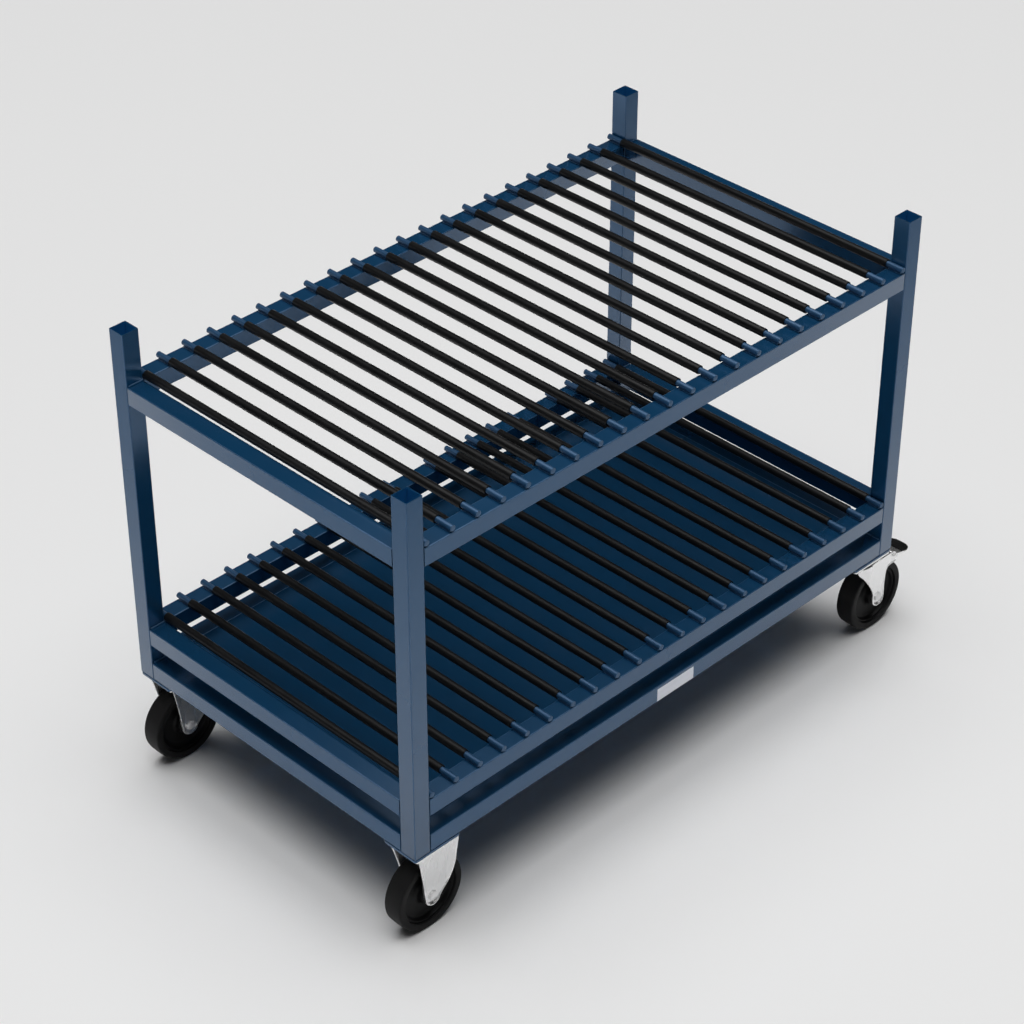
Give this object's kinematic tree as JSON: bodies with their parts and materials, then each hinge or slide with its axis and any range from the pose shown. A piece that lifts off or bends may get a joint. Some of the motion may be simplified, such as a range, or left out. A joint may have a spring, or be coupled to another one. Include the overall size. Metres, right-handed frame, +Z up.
{
  "type": "toast rack trolley",
  "caption": "Steel trolley with two tiers of sleeved cross rods that keep panels upright on a deck, on rigid front and braked swivel rear casters.",
  "frame": {"origin": "On the floor, under the middle of the box round the whole trolley with its wheels and pedals.", "axes": "+X runs to the rear, along the length, where the swivel casters are; +Y is the right side; +Z is up."},
  "size_m": [1.9592, 1.034, 1.3192],
  "materials": {
    "frame_paint": "blue powder coat with a fine orange peel, low gloss",
    "zinc_plate": "bright zinc plate on pressed steel",
    "bearing_steel": "plain ground steel",
    "tyre_rubber": "black moulded rubber, matt",
    "black_plastic": "black moulded plastic, satin"
  },
  "bodies": {
    "frame": {"post_front_left": "frame_paint", "post_front_right": "frame_paint", "post_rear_left": "frame_paint", "post_rear_right": "frame_paint", "upper_rack": "frame_paint", "lower_rack": "frame_paint", "upper_end_rail_front": "frame_paint", "lower_end_rail_front": "frame_paint", "base_end_rail_front": "frame_paint", "upper_end_rail_rear": "frame_paint", "lower_end_rail_rear": "frame_paint", "base_end_rail_rear": "frame_paint", "base_side_rail_left": "frame_paint", "base_side_rail_right": "frame_paint", "deck_sheet": "frame_paint", "mounting_plate_front_left": "frame_paint", "mounting_plate_front_right": "frame_paint", "mounting_plate_rear_left": "frame_paint", "mounting_plate_rear_right": "frame_paint", "caster_bracket_front_left": "zinc_plate", "axle_bolt_front_left": "zinc_plate", "axle_nut_front_left": "zinc_plate", "caster_plate_rear_left": "zinc_plate", "kingpin_rear_left": "zinc_plate", "caster_bracket_front_right": "zinc_plate", "axle_bolt_front_right": "zinc_plate", "axle_nut_front_right": "zinc_plate", "caster_plate_rear_right": "zinc_plate", "kingpin_rear_right": "zinc_plate"},
    "wheel_front_left": {"tyre_front_left": "tyre_rubber", "wheel_centre_front_left": "black_plastic", "hub_bearing_front_left": "bearing_steel"},
    "swivel_rear_left": {"swivel_race_rear_left": "bearing_steel", "caster_fork_rear_left": "zinc_plate", "axle_bolt_rear_left": "zinc_plate", "axle_nut_rear_left": "zinc_plate", "pedal_pin_rear_left": "zinc_plate"},
    "wheel_rear_left": {"tyre_rear_left": "tyre_rubber", "wheel_centre_rear_left": "black_plastic", "hub_bearing_rear_left": "bearing_steel"},
    "pedal_rear_left": {"brake_pedal_rear_left": "black_plastic", "brake_shoe_rear_left": "bearing_steel"},
    "wheel_front_right": {"tyre_front_right": "tyre_rubber", "wheel_centre_front_right": "black_plastic", "hub_bearing_front_right": "bearing_steel"},
    "swivel_rear_right": {"swivel_race_rear_right": "bearing_steel", "caster_fork_rear_right": "zinc_plate", "axle_bolt_rear_right": "zinc_plate", "axle_nut_rear_right": "zinc_plate", "pedal_pin_rear_right": "zinc_plate"},
    "wheel_rear_right": {"tyre_rear_right": "tyre_rubber", "wheel_centre_rear_right": "black_plastic", "hub_bearing_rear_right": "bearing_steel"},
    "pedal_rear_right": {"brake_pedal_rear_right": "black_plastic", "brake_shoe_rear_right": "bearing_steel"}
  },
  "joints": [
    {"name": "wheel_front_left_roll", "type": "hinge", "parent": "frame", "child": "wheel_front_left", "pos_m": [-0.87323, -0.461, 0.10633], "axis": [0, 1, 0], "continuous": true},
    {"name": "caster_rear_left_swivel", "type": "hinge", "parent": "frame", "child": "swivel_rear_left", "pos_m": [0.77677, -0.461, 0.25663], "axis": [0, 0, 1], "continuous": true},
    {"name": "wheel_rear_left_roll", "type": "hinge", "parent": "swivel_rear_left", "child": "wheel_rear_left", "pos_m": [0.84076, -0.461, 0.10633], "axis": [0, 1, 0], "continuous": true},
    {"name": "brake_pedal_rear_left_press", "type": "hinge", "parent": "swivel_rear_left", "child": "pedal_rear_left", "pos_m": [0.88877, -0.461, 0.22733], "axis": [0, 1, 0], "range_deg": [0, 9]},
    {"name": "wheel_front_right_roll", "type": "hinge", "parent": "frame", "child": "wheel_front_right", "pos_m": [-0.87323, 0.461, 0.10633], "axis": [0, 1, 0], "continuous": true},
    {"name": "caster_rear_right_swivel", "type": "hinge", "parent": "frame", "child": "swivel_rear_right", "pos_m": [0.77677, 0.461, 0.25663], "axis": [0, 0, 1], "continuous": true},
    {"name": "wheel_rear_right_roll", "type": "hinge", "parent": "swivel_rear_right", "child": "wheel_rear_right", "pos_m": [0.84076, 0.461, 0.10633], "axis": [0, 1, 0], "continuous": true},
    {"name": "brake_pedal_rear_right_press", "type": "hinge", "parent": "swivel_rear_right", "child": "pedal_rear_right", "pos_m": [0.88877, 0.461, 0.22733], "axis": [0, 1, 0], "range_deg": [0, 9]}
  ]
}
